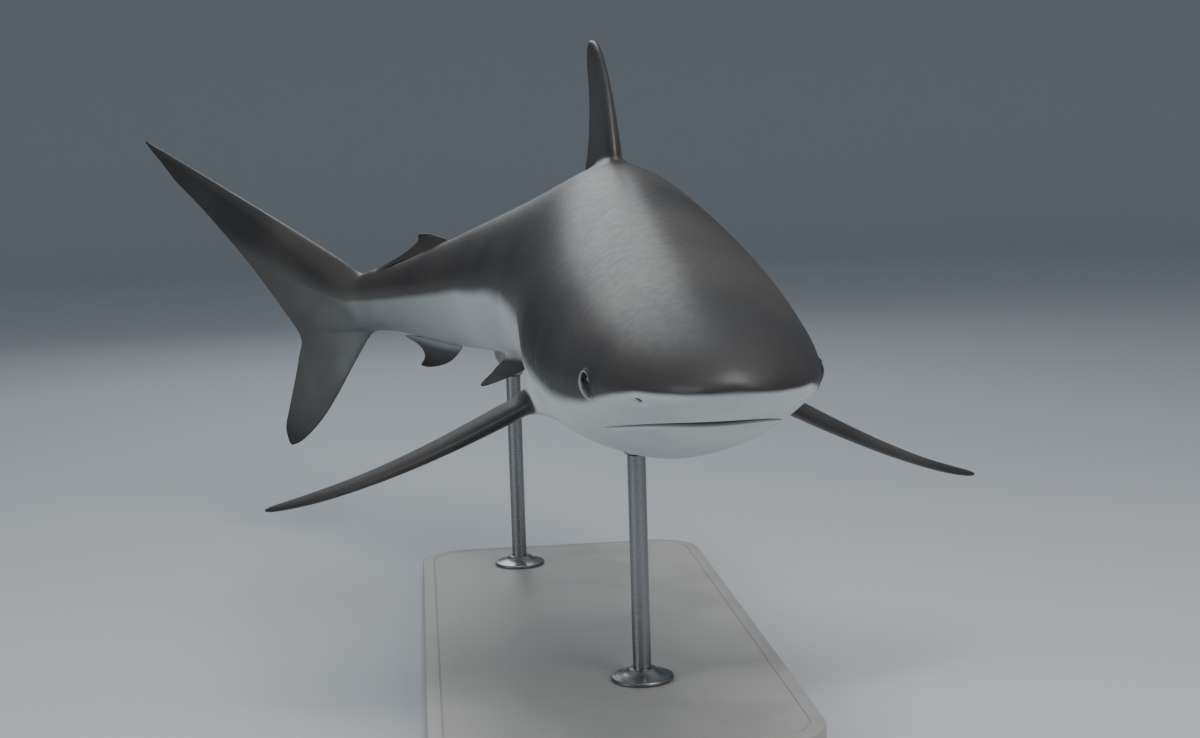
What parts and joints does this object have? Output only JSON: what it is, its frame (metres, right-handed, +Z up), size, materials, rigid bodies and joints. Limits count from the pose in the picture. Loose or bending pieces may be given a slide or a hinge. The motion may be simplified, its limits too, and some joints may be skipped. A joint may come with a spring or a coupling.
{
  "type": "silky shark model on a display stand",
  "caption": "Life-size still model of a swimming silky shark, tail swung to its right, held by steel rods over a flat base.",
  "frame": {"origin": "middle of the underside of the stand's base", "axes": "+Z up; the head looks along -Y, the fish's right side is on -X, and the tail swings towards -X"},
  "size_m": [1.1845, 1.9473, 0.8082],
  "materials": {
    "skin": "painted skin, satin, dark bronze grey above and near white below, with dusky fin tips",
    "pale_skin": "painted skin, satin, near white",
    "eye": "polished, dark with an upright slit pupil",
    "base_paint": "satin paint, light warm grey",
    "steel": "brushed, satin"
  },
  "bodies": {
    "root": {"head": "skin", "trunk": "skin", "tail": "skin", "caudal_fin_upper": "skin", "caudal_fin_lower": "skin", "dorsal_fin_first": "skin", "dorsal_fin_second": "skin", "anal_fin": "skin", "pectoral_fin_right": "skin", "pelvic_fin_right": "skin", "pectoral_fin_left": "skin", "pelvic_fin_left": "skin", "lower_jaw": "pale_skin", "eye_right": "eye", "eye_left": "eye", "stand_base": "base_paint", "stand_foot_front": "steel", "stand_rod_front": "steel", "stand_cup_front": "steel", "stand_foot_rear": "steel", "stand_rod_rear": "steel", "stand_cup_rear": "steel"}
  },
  "joints": []
}
